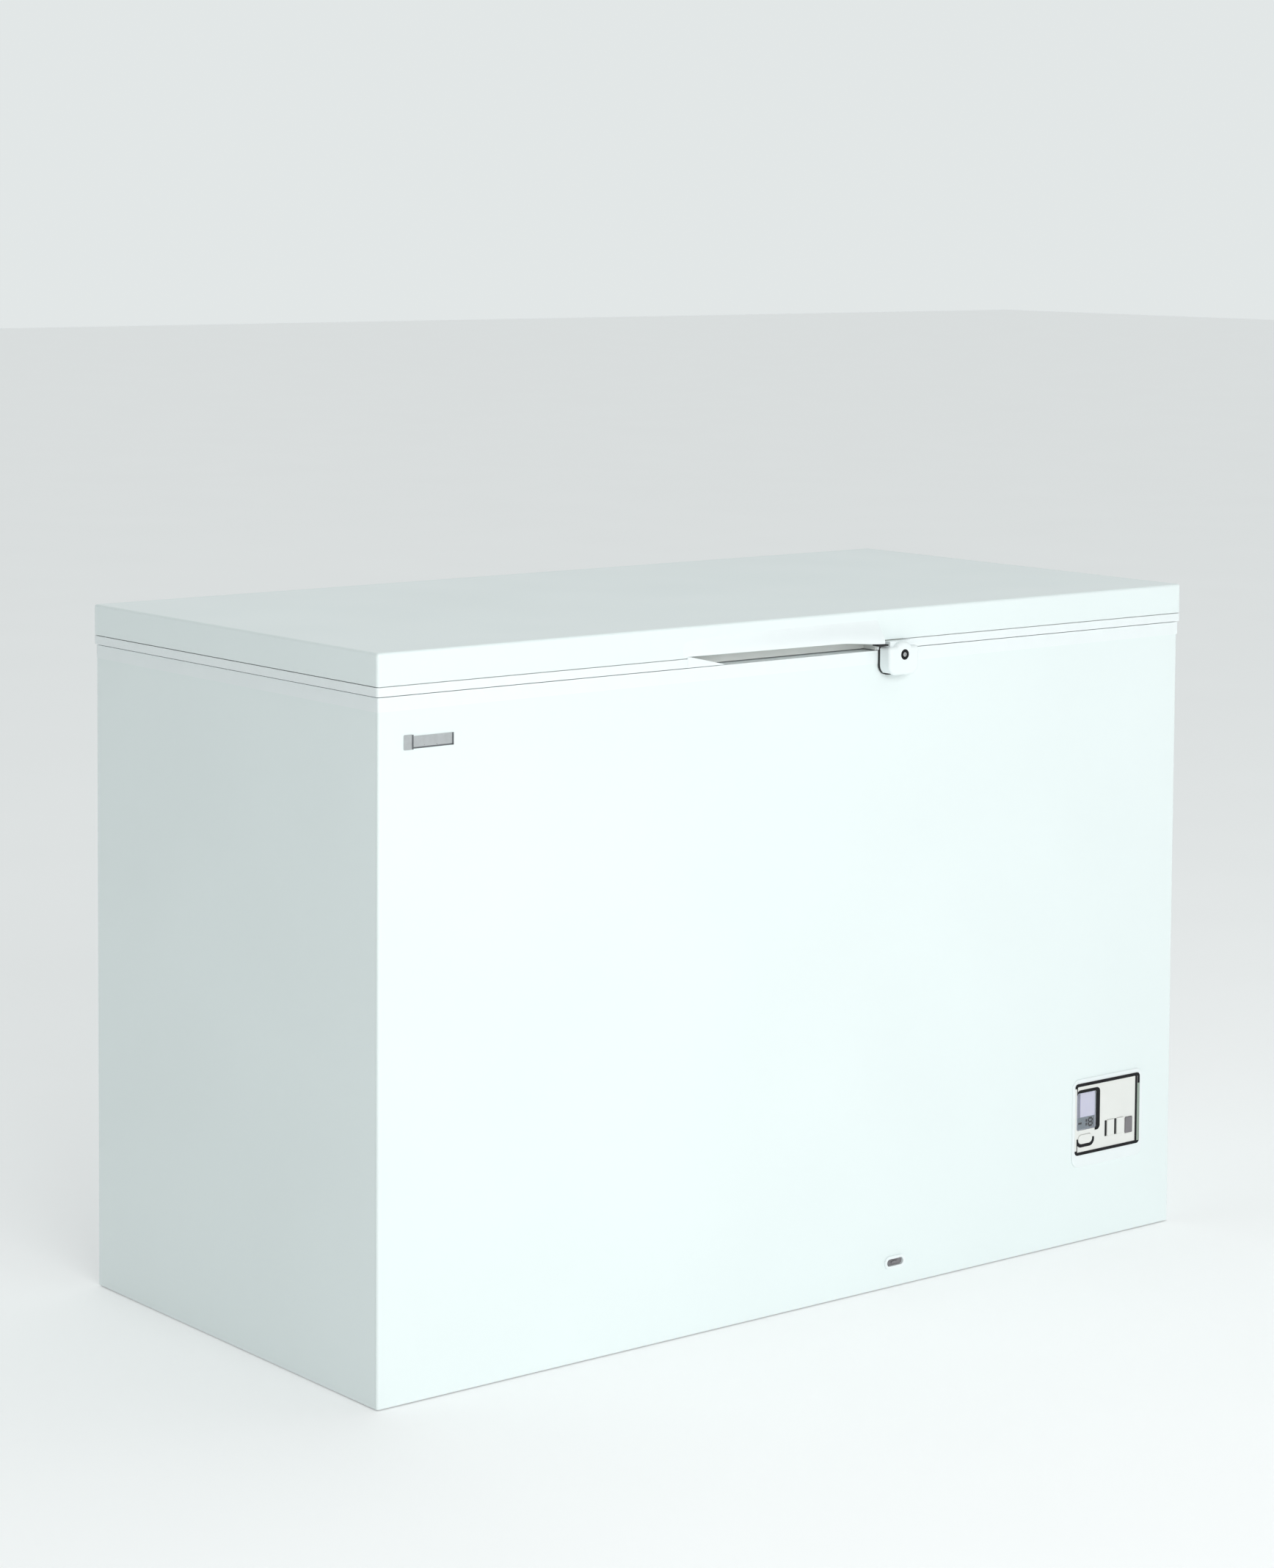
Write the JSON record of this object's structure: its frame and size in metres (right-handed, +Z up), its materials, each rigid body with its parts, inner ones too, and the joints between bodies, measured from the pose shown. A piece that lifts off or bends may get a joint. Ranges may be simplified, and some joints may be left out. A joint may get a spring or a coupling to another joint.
{
  "type": "chest freezer",
  "caption": "White chest freezer with a rear-hinged insulated lid, integrated front handle with lock, bottom-right control panel, drain outlet and sliding wire baskets.",
  "frame": {"origin": "centre of the overall box's footprint, on the floor", "axes": "+X to the right seen from the front, +Y to the back, +Z up; the front faces -Y"},
  "size_m": [1.28, 0.65, 0.85],
  "materials": {
    "white_enamel": "gloss",
    "white_plastic": "satin",
    "zinc_sheet": "satin",
    "embossed_aluminium": "satin",
    "rigid_foam": "matte",
    "copper_tube": "satin",
    "seal_rubber": "matte",
    "black_rubber": "matte",
    "black_plastic": "satin",
    "cream_plastic": "satin",
    "grey_plastic": "satin",
    "clear_lens": "gloss",
    "lcd_panel": "satin",
    "circuit_board": "satin",
    "black_enamel": "gloss",
    "chrome_plate": "polished",
    "satin_badge": "satin",
    "coated_wire": "satin"
  },
  "bodies": {
    "cabinet": {"front_panel": "white_enamel", "left_side_panel": "white_enamel", "right_side_panel": "white_enamel", "rear_panel": "zinc_sheet", "base_rails": "zinc_sheet", "foot_glides": "black_rubber", "base_pan": "zinc_sheet", "machine_tray": "zinc_sheet", "compartment_wall": "zinc_sheet", "inner_liner": "embossed_aluminium", "top_frame": "white_plastic", "evaporator_coil": "copper_tube", "condenser_coil": "zinc_sheet", "drain_tube": "white_plastic", "cabinet_foam": "rigid_foam", "drain_bezel": "white_plastic", "badge_plate": "satin_badge", "control_escutcheon": "white_plastic", "control_frame": "black_plastic", "control_faceplate": "cream_plastic", "display_window": "clear_lens", "display_module": "lcd_panel", "control_board": "circuit_board", "compressor": "black_enamel", "compressor_mounts": "black_rubber", "relay_box": "black_plastic", "filter_drier": "copper_tube", "suction_line": "copper_tube", "discharge_line": "copper_tube", "capillary_tube": "copper_tube", "side_grille": "white_plastic", "rear_service_cover": "zinc_sheet", "cord_gland": "black_rubber", "rear_screws": "zinc_sheet", "hinge_bracket_left": "zinc_sheet", "hinge_bracket_right": "zinc_sheet", "hinge_pins": "chrome_plate", "hinge_springs": "chrome_plate", "hinge_screws": "zinc_sheet", "lock_catch": "zinc_sheet"},
    "lid": {"lid_shell": "white_enamel", "lid_foam": "rigid_foam", "lid_frame": "white_plastic", "lid_liner": "white_plastic", "lid_gasket": "seal_rubber", "handle_grip": "white_plastic", "lock_housing": "white_plastic", "hinge_arm_left": "zinc_sheet", "hinge_arm_right": "zinc_sheet", "arm_screws": "zinc_sheet"},
    "lock_barrel": {"lock_cylinder": "chrome_plate", "lock_cam": "zinc_sheet"},
    "power_button": {"power_key": "cream_plastic"},
    "set_button": {"set_key": "cream_plastic"},
    "down_button": {"down_key": "cream_plastic"},
    "up_button": {"up_key": "grey_plastic"},
    "drain_cap_body": {"drain_cap": "grey_plastic"},
    "drain_plug_body": {"drain_plug": "black_rubber"},
    "basket_left_body": {"basket_left": "coated_wire"},
    "basket_right_body": {"basket_right": "coated_wire"}
  },
  "joints": [
    {"name": "lid_hinge", "type": "hinge", "parent": "cabinet", "child": "lid", "pos_m": [0, 0.317, 0.812], "axis": [-1, 0, 0], "range_deg": [0, 85], "stiffness_Nm_per_rad": 15, "springref_deg": 84.8},
    {"name": "lock_turn", "type": "hinge", "parent": "lid", "child": "lock_barrel", "pos_m": [0.1295, -0.32, 0.7955], "axis": [0, -1, 0], "range_deg": [0, 90]},
    {"name": "power_press", "type": "slide", "parent": "cabinet", "child": "power_button", "axis": [0, 1, 0], "range_m": [0, 0.0012], "stiffness_N_per_m": 400},
    {"name": "set_press", "type": "slide", "parent": "cabinet", "child": "set_button", "axis": [0, 1, 0], "range_m": [0, 0.0012], "stiffness_N_per_m": 400},
    {"name": "down_press", "type": "slide", "parent": "cabinet", "child": "down_button", "axis": [0, 1, 0], "range_m": [0, 0.0012], "stiffness_N_per_m": 400},
    {"name": "up_press", "type": "slide", "parent": "cabinet", "child": "up_button", "axis": [0, 1, 0], "range_m": [0, 0.0012], "stiffness_N_per_m": 400},
    {"name": "drain_cap_pull", "type": "slide", "parent": "cabinet", "child": "drain_cap_body", "axis": [0, -1, 0], "range_m": [0, 0.015]},
    {"name": "drain_plug_lift", "type": "slide", "parent": "cabinet", "child": "drain_plug_body", "axis": [0, 0, 1], "range_m": [0, 0.03]},
    {"name": "basket_left_slide", "type": "slide", "parent": "cabinet", "child": "basket_left_body", "axis": [1, 0, 0], "range_m": [0, 0.29]},
    {"name": "basket_right_slide", "type": "slide", "parent": "cabinet", "child": "basket_right_body", "axis": [1, 0, 0], "range_m": [-0.29, 0]}
  ]
}
